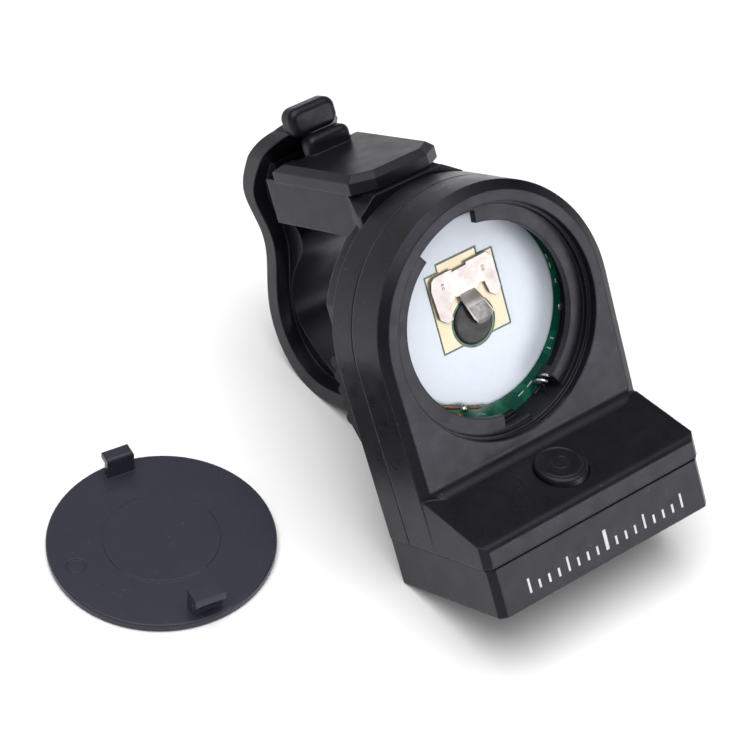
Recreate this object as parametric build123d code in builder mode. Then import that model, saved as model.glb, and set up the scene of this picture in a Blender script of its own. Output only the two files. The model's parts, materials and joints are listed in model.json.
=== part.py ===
from build123d import *
import os
from math import acos, atan2, cos, hypot, radians, sin

# Clip-on tuner for instruments: an L-shaped head (round battery drum above a
# display foot), a sprung clip that swivels on the drum, and the loose battery
# door lying beside it with its inner side up.  Millimetres, +Z up, standing on
# the foot's edge and the clip.  "Depth" is measured into the head from its rear
# face, the face with the battery opening.

# ---------------------------------------------------------------- dimensions
lean = 29.38             # the rear face looks up by this angle, degrees
stand_x = 14.62          # where the foot's edge stands, beside the origin
stand_y = -13.48
edge_sink = 0.15         # rounding of the edge that it stands on

drum_radius = 14.5       # round end of the head
body_depth = 9.2         # rear face to front face
seam_depth = 5.15        # rear shell meets front shell
foot_half_width = 14.2
foot_reach = 8.53        # foot's text face stands this far out of the rear face
ledge_inner_y = -14.0    # ledge where it meets the rear face
ledge_outer_y = -17.5    # ledge at the foot's outer edge
foot_seam_y = -19.8      # shells meet the display cap
foot_bottom_y = -25.5
wall = 1.2

door_radius = 12.15
door_thickness = 0.95
door_recess_radius = 12.3
seat_depth = 1.0         # the closed door rests here
ledge_face_depth = 1.7   # bayonet ledge
ledge_back_depth = 2.5
ledge_radius = 10.2
cell_well_radius = 11.55
tab_track_radius = 12.05
film_depth = 5.03        # white film on the circuit board
board_thickness = 0.9
board_hole = (0.1, -0.7)
board_hole_radius = 2.45
pad_centre = (0.08, 1.6)     # gold plated pad round the hole
seam_gap = 0.14          # groove that shows as a dark line where two shells meet
seam_inset = 0.3

door_x = -31.6           # the loose door, measured from the foot's edge
door_y = 19.05
hook_rest_angle = 81.0   # where its hook points on the table
gap_angles = (98.8, 122.5)    # bayonet entry gap for the hook, about the drum
track_angles = (82.8, 122.5)  # stretch that the hook turns along

swivel_radius = 4.1      # hub that turns in the front shell
jaw_plate_depth = 9.6    # face of the fixed jaw towards the head
jaw_plate_back = 12.4
arm_half_width = 4.9
arm_low_y = 9.4
arm_seam_y = 14.5
arm_top_y = 16.6
arm_near_depth = 10.7
arm_far_depth = 30.5
arm_wall = 1.4
flare_half_width = 6.6   # arm where it meets the plate
flare_depth = 14.5
pin_depth = 23.8         # hinge pin of the moving jaw
pin_y = 12.9
pin_radius = 0.75
running_gap = 0.05
jaw_half_width = 5.0
tab_half_width = 2.95
neck_half_width = 2.6    # bow where it joins the tab

button_depth = -4.2      # button axis, out from the rear face
button_radius = 2.75

# ---------------------------------------------------------------- placing
across = Vector(1, 0, 0)
out = Vector(0, -cos(radians(lean)), sin(radians(lean)))
up = Vector(0, sin(radians(lean)), cos(radians(lean)))
foot_edge = Vector(stand_x, stand_y, -edge_sink)
drum_centre = foot_edge - up * foot_bottom_y + out * body_depth


def spot(x, y, depth):
    """Point given across, up the head and into it."""
    return drum_centre + across * x + up * y - out * depth


def face(depth, x=0, y=0):
    """Plane parallel to the rear face, looking out of it."""
    return Plane(origin=spot(x, y, depth), x_dir=across, z_dir=out)


def side(x=0):
    """Side view of the head: local x is depth, local y runs up the head."""
    return Plane(origin=spot(x, 0, 0), x_dir=out * -1, z_dir=across)


def level(y, x=0, depth=0):
    """Plane across the foot: local x across, local y is depth."""
    return Plane(origin=spot(x, y, depth), x_dir=across, z_dir=up)


def finish(builder, name):
    """Label a finished piece and write its STEP file."""
    builder.part.label = name
    export_step(builder.part, f"parts/{name}.step")


def shell_outline(inset=0.0, low_y=foot_seam_y):
    """Round top with straight sides down to the foot."""
    radius = drum_radius - inset
    half = foot_half_width - inset
    touch = atan2(low_y, half) + acos(radius / hypot(half, low_y))
    touch_x = radius * cos(touch)
    touch_y = radius * sin(touch)
    with BuildSketch() as outline:
        with BuildLine():
            arc = ThreePointArc((touch_x, touch_y), (0, radius), (-touch_x, touch_y))
            Polyline(arc @ 1, (-half, low_y), (half, low_y), arc @ 0)
        make_face()
    return outline.sketch


def sector(radius, first, last):
    """Pie slice about the drum centre, between two angles."""
    middle = radians((first + last) / 2)
    start = (radius * cos(radians(first)), radius * sin(radians(first)))
    end = (radius * cos(radians(last)), radius * sin(radians(last)))
    with BuildSketch() as slice_of_pie:
        with BuildLine():
            ThreePointArc(start, (radius * cos(middle), radius * sin(middle)), end)
            Polyline(end, (0, 0), start)
        make_face()
    return slice_of_pie.sketch


os.makedirs("parts", exist_ok=True)

# ---------------------------------------------------------------- rear shell
ledge_slope = (ledge_inner_y - ledge_outer_y) / foot_reach
foot_roof = wall * 1.1

with BuildPart() as rear_shell:
    # drum wall with a bevelled rear edge
    with BuildSketch(face(seam_depth)):
        add(shell_outline())
    extrude(amount=seam_depth)
    rear_rim = faces().sort_by(Axis(spot(0, 0, 0), out))[-1].edges()
    chamfer(rear_rim, length=0.6, length2=1.0)
    # the foot stands out of the rear face
    with BuildSketch(side(-foot_half_width)):
        with BuildLine():
            Polyline(
                (seam_depth, foot_seam_y),
                (-foot_reach, foot_seam_y),
                (-foot_reach, ledge_outer_y),
                (0, ledge_inner_y),
                (seam_depth, ledge_inner_y),
                close=True,
            )
        make_face()
    extrude(amount=2 * foot_half_width)
    text_face = faces().sort_by(Axis(spot(0, 0, 0), out))[-1]
    chamfer(text_face.edges().filter_by(Axis(spot(0, 0, 0), up)), length=0.7)
    ledge_corner = edges().filter_by(Axis.X).sort_by_distance(spot(0, ledge_inner_y, 0))[0]
    fillet(ledge_corner, radius=1.5)
    ledge_edge = edges().filter_by(Axis.X).sort_by_distance(spot(0, ledge_outer_y, -foot_reach))[0]
    fillet(ledge_edge, radius=1.0)
    # room inside: behind the board, and in the foot
    with BuildSketch(face(seam_depth)):
        add(shell_outline(inset=wall, low_y=foot_seam_y + wall))
        Circle(cell_well_radius + 1.0, mode=Mode.SUBTRACT)
    extrude(amount=seam_depth - 2.0, mode=Mode.SUBTRACT)
    with BuildSketch(side(-foot_half_width + wall)):
        with BuildLine():
            Polyline(
                (seam_depth, foot_seam_y),
                (-foot_reach + wall, foot_seam_y),
                (-foot_reach + wall, ledge_outer_y - foot_roof),
                (1.0, ledge_inner_y - foot_roof - 0.6),
                (seam_depth, ledge_inner_y - foot_roof - 0.6),
                close=True,
            )
        make_face()
    extrude(amount=2 * (foot_half_width - wall), mode=Mode.SUBTRACT)
    # battery opening: door recess, seat, bayonet ledge and cell well
    with BuildSketch(face(seat_depth)):
        Circle(door_recess_radius)
    extrude(amount=seat_depth, mode=Mode.SUBTRACT)
    with BuildSketch(face(ledge_face_depth)):
        Circle(door_recess_radius - 0.35)
    extrude(amount=ledge_face_depth - seat_depth, mode=Mode.SUBTRACT)
    with BuildSketch(face(seam_depth)):
        Circle(ledge_radius)
    extrude(amount=seam_depth, mode=Mode.SUBTRACT)
    with BuildSketch(face(seam_depth)):
        Circle(cell_well_radius)
    extrude(amount=seam_depth - ledge_back_depth, mode=Mode.SUBTRACT)
    for turn in (0, 180):
        with BuildSketch(face(seam_depth)):
            add(sector(cell_well_radius, track_angles[0] + turn, track_angles[1] + turn))
        extrude(amount=seam_depth - 1.5, mode=Mode.SUBTRACT)
        with BuildSketch(face(4.4)):
            add(sector(tab_track_radius, track_angles[0] + turn - 3, track_angles[1] + turn))
        extrude(amount=4.4 - ledge_back_depth, mode=Mode.SUBTRACT)
        with BuildSketch(face(seam_depth)):
            add(sector(tab_track_radius, gap_angles[0] + turn, gap_angles[1] + turn))
        extrude(amount=seam_depth - 1.5, mode=Mode.SUBTRACT)
    # round hole for the power button
    with BuildSketch(level(foot_seam_y, depth=button_depth)):
        Circle(button_radius + 0.1)
    extrude(amount=7, mode=Mode.SUBTRACT)
    # screw posts for the front shell
    for post_x in (-10.9, 10.9):
        with BuildSketch(face(seam_depth, post_x, -16.6)):
            Circle(1.7)
        extrude(amount=3.2)
        with BuildSketch(face(seam_depth, post_x, -16.6)):
            Circle(0.75)
        extrude(amount=2.8, mode=Mode.SUBTRACT)
finish(rear_shell, "rear_shell")

# ---------------------------------------------------------------- front shell
inner_face_depth = body_depth - 1.3

with BuildPart() as front_shell:
    with BuildSketch(face(body_depth)):
        add(shell_outline())
    extrude(amount=body_depth - seam_depth)
    front_rim = faces().sort_by(Axis(spot(0, 0, 0), out))[0].edges()
    chamfer(front_rim.filter_by(lambda e: (e.center() - spot(0, foot_seam_y, body_depth)).length > 1), length=0.4)
    # groove along the seam
    with BuildSketch(face(seam_depth + seam_gap)):
        add(shell_outline())
        add(shell_outline(inset=seam_inset), mode=Mode.SUBTRACT)
    extrude(amount=seam_gap, mode=Mode.SUBTRACT)
    with BuildSketch(face(inner_face_depth)):
        add(shell_outline(inset=wall, low_y=foot_seam_y))
    extrude(amount=inner_face_depth - seam_depth, mode=Mode.SUBTRACT)
    with BuildSketch(face(body_depth)):
        Circle(swivel_radius + running_gap)
    extrude(amount=2, mode=Mode.SUBTRACT)
    for post_x in (-10.9, 10.9):
        with BuildSketch(face(inner_face_depth, post_x, -16.6)):
            Circle(1.9)
        extrude(amount=inner_face_depth - seam_depth)
        with BuildSketch(face(body_depth, post_x, -16.6)):
            Circle(0.95)
        extrude(amount=body_depth - seam_depth, mode=Mode.SUBTRACT)
        with BuildSketch(face(body_depth, post_x, -16.6)):
            Circle(1.6)
        extrude(amount=1.2, mode=Mode.SUBTRACT)
finish(front_shell, "front_shell")

# two screws from the front shell into the rear shell's posts
with BuildPart() as housing_screws:
    for post_x in (-10.9, 10.9):
        with BuildSketch(face(body_depth - 0.1, post_x, -16.6)):
            Circle(1.45)
        extrude(amount=1.0)
        with BuildSketch(face(body_depth - 1.1, post_x, -16.6)):
            Circle(0.74)
        extrude(amount=5.4)
        with BuildSketch(face(body_depth - 0.1, post_x, -16.6)):
            Rectangle(1.8, 0.35)
            Rectangle(0.35, 1.8)
        extrude(amount=0.5, mode=Mode.SUBTRACT)
finish(housing_screws, "housing_screws")

# ---------------------------------------------------------------- display foot
cap_half_width = 13.97
cap_top_y = foot_seam_y - 0.05
cap_out = foot_reach - 0.05
cap_middle = (body_depth - cap_out) / 2 - 0.05
cap_span = body_depth - 0.1 + cap_out
window_y = foot_bottom_y + 1.0

with BuildPart() as display_cap:
    with BuildSketch(level(foot_bottom_y, depth=cap_middle)):
        Rectangle(2 * cap_half_width, cap_span)
    extrude(amount=cap_top_y - foot_bottom_y)
    upright = edges().filter_by(Axis(spot(0, 0, 0), up))
    chamfer(upright.sort_by(Axis(spot(0, 0, 0), out))[-2:], length=0.7)
    chamfer(faces().sort_by(Axis(spot(0, 0, 0), up))[0].edges(), length=0.2)
    # groove under the shells
    with BuildSketch(level(cap_top_y, depth=cap_middle)):
        Rectangle(2 * cap_half_width, cap_span)
        Rectangle(2 * (cap_half_width - seam_inset), cap_span - 2 * seam_inset, mode=Mode.SUBTRACT)
    extrude(amount=-seam_gap, mode=Mode.SUBTRACT)
    with BuildSketch(level(window_y, depth=cap_middle)):
        Rectangle(2 * (cap_half_width - 1.1), cap_span - 2.2)
    extrude(amount=cap_top_y - window_y, mode=Mode.SUBTRACT)
    # the window is let into the bottom face
    with BuildSketch(level(foot_bottom_y, depth=cap_middle)):
        Rectangle(24.6, 14.4)
    extrude(amount=0.8, mode=Mode.SUBTRACT)
    with BuildSketch(level(foot_bottom_y, depth=cap_middle)):
        Rectangle(22.6, 12.6)
    extrude(amount=2, mode=Mode.SUBTRACT)
    # posts that carry the display board
    for post_x in (-11.6, 11.6):
        with BuildSketch(level(window_y, post_x, cap_middle + 5.6)):
            Rectangle(2.2, 2.2)
        extrude(amount=2.9)
finish(display_cap, "display_cap")

with BuildPart() as display_window:
    with BuildSketch(level(foot_bottom_y + 0.05, depth=cap_middle)):
        RectangleRounded(24.5, 14.3, 0.4)
    extrude(amount=0.72)
finish(display_window, "display_window")

with BuildPart() as display_panel:
    with BuildSketch(level(window_y + 0.03, depth=cap_middle)):
        Rectangle(20.4, 12.4)
    extrude(amount=1.3)
finish(display_panel, "display_panel")

with BuildPart() as light_guide:
    with BuildSketch(level(window_y + 1.36, depth=cap_middle)):
        Rectangle(19.6, 12.0)
    extrude(amount=1.4)
finish(light_guide, "light_guide")

display_board_y = window_y + 2.93
with BuildPart() as display_board:
    with BuildSketch(level(display_board_y, depth=cap_middle)):
        Rectangle(2 * (cap_half_width - 1.4), cap_span - 2.8)
    extrude(amount=0.8)
finish(display_board, "display_board")
board_top_y = display_board_y + 0.8

# ---------------------------------------------------------------- power button
switch_top_y = board_top_y + 1.2
plunger_top_y = switch_top_y + 0.5
button_travel = 0.4

with BuildPart() as tact_switch:
    with BuildSketch(level(board_top_y + 0.02, depth=button_depth)):
        RectangleRounded(4.4, 4.4, 0.3)
    extrude(amount=switch_top_y - board_top_y - 0.02)
    with BuildSketch(level(board_top_y + 0.3, depth=button_depth)):
        Circle(1.15)
    extrude(amount=3, mode=Mode.SUBTRACT)
finish(tact_switch, "tact_switch")

with BuildPart() as switch_plunger:
    with BuildSketch(level(switch_top_y - 0.3, depth=button_depth)):
        Circle(1.1)
    extrude(amount=plunger_top_y - switch_top_y + 0.3)
finish(switch_plunger, "switch_plunger")

ledge_at_button = ledge_inner_y + ledge_slope * button_depth
wing_top_y = ledge_at_button - 2.45
with BuildPart() as power_button:
    with BuildSketch(level(plunger_top_y + 0.03, depth=button_depth)):
        Circle(button_radius)
    extrude(amount=6)
    # top cut parallel to the ledge, standing a little proud
    top_y = ledge_at_button + 0.75
    with BuildSketch(side(-5)):
        with BuildLine():
            Polyline(
                (button_depth - 5, top_y - 5 * ledge_slope),
                (button_depth + 5, top_y + 5 * ledge_slope),
                (button_depth + 5, top_y + 9),
                (button_depth - 5, top_y + 9),
                close=True,
            )
        make_face()
    extrude(amount=10, mode=Mode.SUBTRACT)
    rim = edges().filter_by(GeomType.ELLIPSE)
    fillet(rim, radius=0.4)
    # wings that keep it in the foot
    with BuildSketch(level(wing_top_y, depth=button_depth)):
        Rectangle(8.4, 2.2)
    extrude(amount=-0.6)
finish(power_button, "power_button")

# ---------------------------------------------------------------- electronics
board_top_depth = film_depth + 0.12

with BuildPart() as circuit_board:
    with BuildSketch(face(board_top_depth + board_thickness)):
        Circle(12.7)
        with Locations(board_hole):
            Circle(board_hole_radius, mode=Mode.SUBTRACT)
    extrude(amount=board_thickness)
finish(circuit_board, "circuit_board")

with BuildPart() as insulating_film:
    with BuildSketch(face(board_top_depth)):
        with Locations((0.5, 0.4)):
            Circle(10.25)
        with Locations(pad_centre):
            Rectangle(8.9, 8.7, mode=Mode.SUBTRACT)
        with Locations((-0.05, 6.2)):
            Rectangle(5.3, 1.2, mode=Mode.SUBTRACT)
        with Locations(board_hole):
            Circle(board_hole_radius + 0.3, mode=Mode.SUBTRACT)
    extrude(amount=board_top_depth - film_depth)
finish(insulating_film, "insulating_film")

with BuildPart() as contact_pad:
    with BuildSketch(face(board_top_depth)):
        with Locations(pad_centre):
            Rectangle(8.5, 8.3)
        with Locations((-0.05, 6.1)):
            Rectangle(4.9, 0.9)
        with Locations(board_hole):
            Circle(board_hole_radius + 0.3, mode=Mode.SUBTRACT)
    extrude(amount=0.08)
finish(contact_pad, "contact_pad")

with BuildPart() as sensor_grommet:
    with BuildSketch(face(6.6)):
        with Locations(board_hole):
            Circle(board_hole_radius - 0.05)
    extrude(amount=6.6 - 4.85)
    fillet(edges().filter_by(GeomType.CIRCLE).sort_by(Axis(spot(0, 0, 0), out))[-1], radius=0.3)
finish(sensor_grommet, "sensor_grommet")

# sheet metal spring that presses on the cell's negative face
strip_thickness = 0.15
plate_depth = 4.85       # underside of the plate
tongue_depth = 4.4       # underside of the raised tongue
with BuildPart() as negative_contact:
    with BuildSketch(face(plate_depth)):
        with BuildLine():
            Polyline(
                (-3.8, 5.3),
                (-3.3, 5.6),
                (3.5, 5.8),
                (4.1, 5.0),
                (4.2, 1.6),
                (3.9, 1.05),
                (3.3, 0.95),
                (2.7, 1.5),
                (2.4, 2.9),
                (1.3, 2.5),
                (-0.8, 2.5),
                (-1.4, 2.7),
                (-2.4, 1.7),
                (-2.3, 0.6),
                (-3.1, 0.4),
                (-3.9, 1.1),
                (-4.1, 4.3),
                close=True,
            )
        make_face()
    extrude(amount=strip_thickness)
    # step up to the tongue, and the tongue
    with BuildSketch(face(plate_depth)):
        with Locations((0.1, 2.65)):
            Rectangle(2.0, 0.3)
    extrude(amount=plate_depth - tongue_depth + strip_thickness)
    with BuildSketch(face(tongue_depth)):
        with BuildLine():
            Polyline(
                (-0.9, 2.8),
                (1.1, 2.8),
                (2.4, -0.2),
                (1.45, -1.1),
                (0.2, -0.95),
                (-0.25, -0.2),
                (-0.9, 1.9),
                close=True,
            )
        make_face()
    extrude(amount=strip_thickness)
    # welded feet on the pad
    with BuildSketch(face(board_top_depth - 0.08)):
        with Locations((-2.6, 4.3), (2.6, 4.3)):
            Rectangle(1.0, 0.8)
    extrude(amount=board_top_depth - 0.08 - plate_depth + 0.05)
finish(negative_contact, "negative_contact")

# spring strip that touches the cell's rim
contact_angle = -62
contact_turn = Location((0, 0, 0), (0, 0, contact_angle))
with BuildPart() as positive_contact:
    with BuildSketch(face(board_top_depth)):
        with Locations(contact_turn * Location((10.62, 0, 0))):
            Rectangle(0.5, 1.7)
    extrude(amount=0.15)
    with BuildSketch(face(board_top_depth)):
        with Locations(contact_turn * Location((10.78, 0, 0))):
            Rectangle(0.18, 1.7)
    extrude(amount=2.4)
finish(positive_contact, "positive_contact")

board_back_depth = board_top_depth + board_thickness
with BuildPart() as circuit_components:
    for chip_x, chip_y, chip_w, chip_h, chip_t in (
        (-8.2, 1.0, 4.0, 4.0, 0.9),
        (8.0, 3.0, 2.6, 1.4, 0.8),
        (8.0, -1.5, 1.6, 0.9, 0.7),
        (6.6, -6.6, 3.0, 2.2, 1.0),
        (-6.6, -6.8, 1.6, 0.9, 0.7),
    ):
        with BuildSketch(face(board_back_depth + 0.01, chip_x, chip_y)):
            Rectangle(chip_w, chip_h)
        extrude(amount=-chip_t)
finish(circuit_components, "circuit_components")

with BuildPart() as vibration_sensor:
    with BuildSketch(face(inner_face_depth - 0.02, 0, 9.3)):
        Circle(3.0)
    extrude(amount=0.25)
    with BuildSketch(face(inner_face_depth - 0.27, 0, 9.3)):
        Circle(2.2)
    extrude(amount=0.2)
finish(vibration_sensor, "vibration_sensor")

with BuildPart() as flex_cable:
    with BuildSketch(side(-2.5)):
        with BuildLine():
            Polyline(
                (board_back_depth + 0.02, -8.6),
                (board_back_depth + 0.2, -8.6),
                (board_back_depth + 0.2, board_top_y + 0.02),
                (2.4, board_top_y + 0.02),
                (2.4, board_top_y + 0.2),
                (board_back_depth + 0.02, board_top_y + 0.2),
                close=True,
            )
        make_face()
    extrude(amount=5)
finish(flex_cable, "flex_cable")

# ---------------------------------------------------------------- battery door
door_plane = Plane(
    origin=foot_edge + Vector(door_x, door_y, edge_sink),
    x_dir=Vector(cos(radians(hook_rest_angle)), sin(radians(hook_rest_angle)), 0),
    z_dir=(0, 0, 1),
)


def door_level(height):
    """Plane of the loose door at a height above its outer face; local x to the hook."""
    return door_plane.offset(height)


with BuildPart() as battery_door:
    with BuildSketch(door_level(0)):
        Circle(door_radius)
    extrude(amount=door_thickness)
    chamfer(edges(), length=0.15)
    # raised round pad in the middle and a moulding mark
    with BuildSketch(door_level(door_thickness)):
        Circle(6.2)
    extrude(amount=0.12)
    with BuildSketch(door_level(door_thickness)):
        with Locations((0.2, 9.7)):
            Circle(1.1)
            Circle(0.85, mode=Mode.SUBTRACT)
    extrude(amount=-0.12, mode=Mode.SUBTRACT)
    # hook: post with its toe turned outwards, its edges rounded
    with BuildSketch(door_level(door_thickness)):
        with Locations((10.62, 0)):
            Rectangle(0.8, 3.1)
    extrude(amount=2.7)
    with BuildSketch(door_level(door_thickness + 1.75)):
        with Locations((11.12, 0)):
            Rectangle(1.5, 3.1)
    extrude(amount=0.95)
    hook_top = faces().sort_by(Axis.Z)[-1]
    fillet(hook_top.edges(), radius=0.3)
    # latch: low box with a slot through it
    with BuildSketch(door_level(door_thickness)):
        with Locations((-10.45, 0)):
            Rectangle(1.15, 3.4)
    extrude(amount=2.7)
    with BuildSketch(door_level(door_thickness + 1.75)):
        with Locations((-11.2, 0)):
            Rectangle(1.3, 3.4)
    extrude(amount=0.95)
    with BuildSketch(door_level(door_thickness + 0.5)):
        with Locations((-10.45, 0)):
            Rectangle(3, 1.8)
    extrude(amount=1.0, mode=Mode.SUBTRACT)
finish(battery_door, "battery_door")

# ---------------------------------------------------------------- swivel
with BuildPart() as swivel_hub:
    with BuildSketch(face(jaw_plate_depth)):
        Circle(swivel_radius)
        Circle(0.8, mode=Mode.SUBTRACT)
    extrude(amount=jaw_plate_depth - inner_face_depth + 0.1)
    with BuildSketch(face(jaw_plate_back - 0.8)):
        RegularPolygon(3.4, 6)
        Circle(0.8, mode=Mode.SUBTRACT)
    extrude(amount=jaw_plate_back - 0.8 - jaw_plate_depth)
finish(swivel_hub, "swivel_hub")

with BuildPart() as friction_washer:
    with BuildSketch(face(jaw_plate_depth - 0.03)):
        Circle(9.0)
        Circle(swivel_radius + 0.15, mode=Mode.SUBTRACT)
    extrude(amount=jaw_plate_depth - 0.06 - body_depth)
finish(friction_washer, "friction_washer")

washer_depth = inner_face_depth - 0.12
with BuildPart() as retaining_washer:
    with BuildSketch(face(washer_depth)):
        Circle(5.6)
        Circle(0.8, mode=Mode.SUBTRACT)
    extrude(amount=0.45)
finish(retaining_washer, "retaining_washer")

with BuildPart() as pivot_screw:
    with BuildSketch(face(washer_depth - 0.47)):
        Circle(1.5)
    extrude(amount=0.55)
    with BuildSketch(face(washer_depth - 0.47)):
        Circle(0.78)
    extrude(amount=-4.2)
finish(pivot_screw, "pivot_screw")

# ---------------------------------------------------------------- clip: fixed side
hollow_length = arm_far_depth - 12
with BuildPart() as fixed_jaw:
    # plate behind the head
    with BuildSketch(face(jaw_plate_back)):
        with BuildLine():
            Polyline((-11.9, 5.2), (-11.9, -9.4), (-10.6, -10.7), (10.6, -10.7), (11.9, -9.4), (11.9, 5.2))
            ThreePointArc((11.9, 5.2), (0, 13.0), (-11.9, 5.2))
        make_face()
    extrude(amount=jaw_plate_back - jaw_plate_depth)
    # arm, the throat of the clip; it flares where it meets the plate
    with BuildSketch(face(arm_far_depth, 0, (arm_low_y + arm_seam_y) / 2)):
        Rectangle(2 * arm_half_width, arm_seam_y - arm_low_y)
    extrude(amount=arm_far_depth - flare_depth)
    flare_start = [
        (-arm_half_width, arm_low_y),
        (-arm_half_width, arm_seam_y - 0.1),
        (-arm_half_width + 0.1, arm_seam_y),
        (arm_half_width - 0.1, arm_seam_y),
        (arm_half_width, arm_seam_y - 0.1),
        (arm_half_width, arm_low_y),
    ]
    flare_end = [
        (-flare_half_width, arm_low_y),
        (-flare_half_width, arm_seam_y - 1.5),
        (-arm_half_width + 0.5, arm_seam_y),
        (arm_half_width - 0.5, arm_seam_y),
        (flare_half_width, arm_seam_y - 1.5),
        (flare_half_width, arm_low_y),
    ]
    with BuildSketch(face(flare_depth)):
        with BuildLine():
            Polyline(*flare_start, close=True)
        make_face()
    with BuildSketch(face(arm_near_depth)):
        with BuildLine():
            Polyline(*flare_end, close=True)
        make_face()
    loft(ruled=True)
    with BuildSketch(face(arm_near_depth)):
        with BuildLine():
            Polyline(*flare_end, close=True)
        make_face()
    extrude(amount=arm_near_depth - jaw_plate_depth - 0.4)
    # hollow for the spring and the jaw's lugs, open at the top and at the far end
    with BuildSketch(level(arm_low_y + wall, depth=14 + hollow_length / 2)):
        Rectangle(2 * (arm_half_width - arm_wall), hollow_length)
    extrude(amount=8, mode=Mode.SUBTRACT)
    # pin slots, open upwards and closed by the cover
    with BuildSketch(side(-arm_half_width + 0.4)):
        with Locations((pin_depth, pin_y)):
            Circle(pin_radius + 0.01)
        with Locations((pin_depth, (pin_y + arm_seam_y) / 2)):
            Rectangle(2 * pin_radius + 0.02, arm_seam_y - pin_y)
    extrude(amount=2 * (arm_half_width - 0.4), mode=Mode.SUBTRACT)
    # pocket for the swivel hub's hexagon and the pivot screw's tip
    with BuildSketch(face(jaw_plate_back - 0.8)):
        RegularPolygon(3.42, 6)
    extrude(amount=5, mode=Mode.SUBTRACT)
finish(fixed_jaw, "fixed_jaw")

cover_half_width = 5.6
cover_far_depth = 27.4
with BuildPart() as arm_cover:
    cover_low_y = arm_seam_y + 0.12
    with BuildSketch(level(cover_low_y)):
        with BuildLine():
            Polyline(
                (-cover_half_width, cover_far_depth),
                (-cover_half_width, arm_near_depth + 1.8),
                (-cover_half_width + 2.3, arm_near_depth),
                (cover_half_width - 2.3, arm_near_depth),
                (cover_half_width, arm_near_depth + 1.8),
                (cover_half_width, cover_far_depth),
                close=True,
            )
        make_face()
    extrude(amount=arm_top_y - cover_low_y)
    chamfer(faces().sort_by(Axis(spot(0, 0, 0), up))[-1].edges(), length=0.7)
    # long slope down to the far end
    with BuildSketch(side(-cover_half_width)):
        with BuildLine():
            Polyline(
                (cover_far_depth - 1.6, arm_top_y),
                (cover_far_depth, arm_top_y - 0.8),
                (cover_far_depth, arm_top_y),
                close=True,
            )
        make_face()
    extrude(amount=2 * cover_half_width, mode=Mode.SUBTRACT)
    # notch over the jaw's lugs
    with BuildSketch(level(cover_low_y, depth=cover_far_depth)):
        Rectangle(7.4, 4.8)
    extrude(amount=3, mode=Mode.SUBTRACT)
    # raised rib for the finger, rounded along its top and at both ends
    with BuildSketch(face(26.2, 0.5, 17.1)):
        RectangleRounded(5.4, 2.9, 0.9)
    extrude(amount=2.2)
    rib_top = faces().sort_by(Axis(spot(0, 0, 0), up))[-1].edges().filter_by(Axis.X)
    fillet(rib_top, radius=0.7)
    # screw boss under the cover
    with BuildSketch(level(cover_low_y, depth=18)):
        Circle(1.5)
    extrude(amount=-2.6)
finish(arm_cover, "arm_cover")

pad_face_depth = 14.8
with BuildPart() as fixed_jaw_pad:
    with BuildSketch(side(-12.0)):
        with BuildLine():
            Polyline(
                (jaw_plate_back, -10.6),
                (jaw_plate_back, -0.9),
                (pad_face_depth - 0.6, -0.9),
                (pad_face_depth - 0.6, -8.6),
                (jaw_plate_back + 0.8, -10.6),
                close=True,
            )
        make_face()
    extrude(amount=24)
    # five soft ribs
    for rib in range(5):
        with BuildSketch(side(-12.0)):
            with Locations((pad_face_depth - 0.65, -1.7 - 1.6 * rib)):
                Circle(0.62)
        extrude(amount=24)
finish(fixed_jaw_pad, "fixed_jaw_pad")

# ---------------------------------------------------------------- clip: moving jaw
# outlines in the side view: depth behind the rear face, and height up the head
jaw_outer = [
    (26.7, 20.4),
    (30.3, 19.0),
    (33.9, 15.9),
    (36.1, 12.2),
    (34.8, 8.0),
    (36.3, 2.6),
    (38.2, -2.6),
    (37.7, -7.3),
    (34.64, -10.98),
    (29.4, -12.4),
    (22.0, -11.9),
    (16.4, -8.6),
]
jaw_inner = [
    (26.2, 19.2),
    (29.2, 17.5),
    (32.3, 14.8),
    (34.1, 11.9),
    (32.9, 8.0),
    (34.4, 2.4),
    (36.2, -2.7),
    (35.7, -6.5),
    (33.4, -9.3),
    (29.2, -10.6),
    (22.6, -10.4),
    (17.4, -7.6),
]
rib_inner = [
    (31.0, 10.0),
    (30.8, 9.0),
    (29.9, 7.8),
    (29.8, 6.2),
    (31.3, 4.3),
    (33.8, 2.0),
    (35.4, -0.6),
    (35.7, -3.0),
    (34.9, -5.2),
    (33.0, -7.6),
    (29.6, -11.2),
]
lug_reach = 9.2
rib_back = [(34.0, -10.2), (36.6, -6.4), (37.0, -2.6), (35.2, 3.0), (33.7, 8.0), (34.9, 12.5), (32.6, 15.6)]

# flat tab with round corners that the thumb presses
with BuildPart() as thumb_tab:
    with BuildSketch(face(27.5, -0.1, 20.2)):
        RectangleRounded(2 * tab_half_width, 3.2, 1.2)
    extrude(amount=2.5)
    fillet(faces().sort_by(Axis(spot(0, 0, 0), out))[-1].edges(), radius=0.75)
    fillet(faces().sort_by(Axis(spot(0, 0, 0), out))[0].edges(), radius=0.75)

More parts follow.
